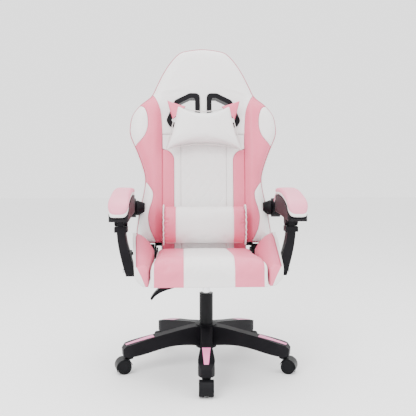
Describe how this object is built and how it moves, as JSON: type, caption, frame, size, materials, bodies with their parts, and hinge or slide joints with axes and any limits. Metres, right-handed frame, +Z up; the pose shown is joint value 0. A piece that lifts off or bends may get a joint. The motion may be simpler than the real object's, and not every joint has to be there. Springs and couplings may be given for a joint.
{
  "type": "gaming chair",
  "caption": "High-back bucket gaming chair with reclining back, linkage armrests, gas height lift, head and lumbar cushions, and a caster base.",
  "frame": {"origin": "on the floor, on the axis of the gas lift column", "axes": "+Z up, the sitter faces -Y, +X is the sitter's left"},
  "size_m": [0.664, 0.7254, 1.2223],
  "materials": {
    "black_nylon": "fine moulded grain",
    "caster_plastic": "satin moulded",
    "pink_insert": "satin pink",
    "black_steel": "powder coat",
    "chrome_tube": "polished",
    "bright_steel": "zinc plated",
    "bush_plastic": "plain",
    "elastic_webbing": "woven elastic",
    "white_leather": "faux leather, fine grain",
    "pink_leather": "faux leather, fine grain"
  },
  "bodies": {
    "base": {"base_star": "black_nylon", "leg_inserts": "pink_insert", "caster_stems": "bright_steel", "column_tube": "black_steel", "column_bush": "bush_plastic", "bearing_lower_race": "bright_steel"},
    "lift_rod": {"piston_rod": "bright_steel", "thrust_bearing": "bright_steel", "rod_clip": "bright_steel"},
    "seat": {"gas_cylinder": "chrome_tube", "mechanism_housing": "black_steel", "mechanism_plate": "black_steel", "plate_bolts": "bright_steel", "seat_frame": "black_steel", "seat_webbing": "elastic_webbing", "seat_hinge_ears": "black_steel", "seat_cushion": "pink_leather", "seat_wing_left": "pink_leather", "seat_wing_right": "pink_leather", "arm_brackets": "black_steel", "recline_pins": "bright_steel", "post_pins": "bright_steel", "hinge_cover_left": "black_nylon", "hinge_cover_right": "black_nylon"},
    "back": {"back_frame": "black_steel", "back_hinge_ears": "black_steel", "arm_hub_bolts": "bright_steel", "back_core": "white_leather", "back_rear_cover": "white_leather", "back_centre_pad": "white_leather", "back_bolster_left": "pink_leather", "back_bolster_right": "pink_leather", "head_rim_left": "black_nylon", "head_rim_right": "black_nylon", "lumbar_cushion": "white_leather", "head_pillow": "white_leather", "pillow_strap": "elastic_webbing"},
    "valve": {"valve_pin": "bright_steel"},
    "lift_lever": {"lift_lever_rod": "black_steel", "lift_lever_paddle": "black_nylon"},
    "recline_lever": {"recline_lever": "black_nylon"},
    "armrest_left": {"arm_pad_left": "pink_leather", "arm_shell_left": "black_nylon", "arm_pin_left": "bright_steel"},
    "post_left": {"arm_post_left": "black_nylon"},
    "armrest_right": {"arm_pad_right": "pink_leather", "arm_shell_right": "black_nylon", "arm_pin_right": "bright_steel"},
    "post_right": {"arm_post_right": "black_nylon"},
    "caster_1": {"caster_housing_1": "caster_plastic"},
    "wheels_1": {"caster_wheels_1": "caster_plastic"},
    "caster_2": {"caster_housing_2": "caster_plastic"},
    "wheels_2": {"caster_wheels_2": "caster_plastic"},
    "caster_3": {"caster_housing_3": "caster_plastic"},
    "wheels_3": {"caster_wheels_3": "caster_plastic"},
    "caster_4": {"caster_housing_4": "caster_plastic"},
    "wheels_4": {"caster_wheels_4": "caster_plastic"},
    "caster_5": {"caster_housing_5": "caster_plastic"},
    "wheels_5": {"caster_wheels_5": "caster_plastic"}
  },
  "joints": [
    {"name": "seat_swivel", "type": "hinge", "parent": "base", "child": "lift_rod", "pos_m": [0, 0, 0.07], "axis": [0, 0, 1], "continuous": true},
    {"name": "seat_height", "type": "slide", "parent": "lift_rod", "child": "seat", "axis": [0, 0, 1], "range_m": [0, 0.08]},
    {"name": "back_recline", "type": "hinge", "parent": "seat", "child": "back", "pos_m": [0, 0.195, 0.385], "axis": [-1, 0, 0], "range_deg": [0, 45]},
    {"name": "lift_lever_pull", "type": "hinge", "parent": "seat", "child": "lift_lever", "pos_m": [-0.055, 0, 0.329], "axis": [0, 1, 0], "range_deg": [0, 6], "stiffness_Nm_per_rad": 4, "springref_deg": -2.86},
    {"name": "valve_press", "type": "slide", "parent": "seat", "child": "valve", "axis": [0, 0, -1], "range_m": [0, 0.0065], "stiffness_N_per_m": 400},
    {"name": "recline_lever_pull", "type": "hinge", "parent": "seat", "child": "recline_lever", "pos_m": [-0.288, 0.195, 0.385], "axis": [-1, 0, 0], "range_deg": [0, 25], "stiffness_Nm_per_rad": 0.8, "springref_deg": -17.19},
    {"name": "armrest_left_pivot", "type": "hinge", "parent": "back", "child": "armrest_left", "pos_m": [0.29, 0.2, 0.567], "axis": [-1, 0, 0], "range_deg": [-45, 0]},
    {"name": "post_left_pivot", "type": "hinge", "parent": "seat", "child": "post_left", "pos_m": [0.29, -0.04, 0.357], "axis": [-1, 0, 0], "range_deg": [0, 45]},
    {"name": "armrest_right_pivot", "type": "hinge", "parent": "back", "child": "armrest_right", "pos_m": [-0.29, 0.2, 0.567], "axis": [-1, 0, 0], "range_deg": [-45, 0]},
    {"name": "post_right_pivot", "type": "hinge", "parent": "seat", "child": "post_right", "pos_m": [-0.29, -0.04, 0.357], "axis": [-1, 0, 0], "range_deg": [0, 45]},
    {"name": "caster_1_swivel", "type": "hinge", "parent": "base", "child": "caster_1", "pos_m": [-0.01156, -0.28777, 0.05], "axis": [0, 0, 1], "continuous": true},
    {"name": "wheels_1_roll", "type": "hinge", "parent": "caster_1", "child": "wheels_1", "pos_m": [-0.01236, -0.30775, 0.025], "axis": [0.9992, -0.0401, 0], "continuous": true},
    {"name": "caster_2_swivel", "type": "hinge", "parent": "base", "child": "caster_2", "pos_m": [0.27011, -0.09992, 0.05], "axis": [0, 0, 1], "continuous": true},
    {"name": "wheels_2_roll", "type": "hinge", "parent": "caster_2", "child": "wheels_2", "pos_m": [0.28887, -0.10686, 0.025], "axis": [0.3469, 0.9379, 0], "continuous": true},
    {"name": "caster_3_swivel", "type": "hinge", "parent": "base", "child": "caster_3", "pos_m": [0.1785, 0.22602, 0.05], "axis": [0, 0, 1], "continuous": true},
    {"name": "wheels_3_roll", "type": "hinge", "parent": "caster_3", "child": "wheels_3", "pos_m": [0.19089, 0.24171, 0.025], "axis": [-0.7848, 0.6198, 0], "continuous": true},
    {"name": "caster_4_swivel", "type": "hinge", "parent": "base", "child": "caster_4", "pos_m": [-0.15979, 0.2396, 0.05], "axis": [0, 0, 1], "continuous": true},
    {"name": "wheels_4_roll", "type": "hinge", "parent": "caster_4", "child": "wheels_4", "pos_m": [-0.17089, 0.25624, 0.025], "axis": [-0.832, -0.5548, 0], "continuous": true},
    {"name": "caster_5_swivel", "type": "hinge", "parent": "base", "child": "caster_5", "pos_m": [-0.27725, -0.07793, 0.05], "axis": [0, 0, 1], "continuous": true},
    {"name": "wheels_5_roll", "type": "hinge", "parent": "caster_5", "child": "wheels_5", "pos_m": [-0.29651, -0.08335, 0.025], "axis": [0.2706, -0.9627, 0], "continuous": true}
  ],
  "couplings": [
    {"joint": "valve_press", "follows": "lift_lever_pull", "m_per_rad": 0.06},
    {"joint": "armrest_left_pivot", "follows": "back_recline", "ratio": -1},
    {"joint": "post_left_pivot", "follows": "back_recline", "ratio": 1},
    {"joint": "armrest_right_pivot", "follows": "back_recline", "ratio": -1},
    {"joint": "post_right_pivot", "follows": "back_recline", "ratio": 1}
  ]
}
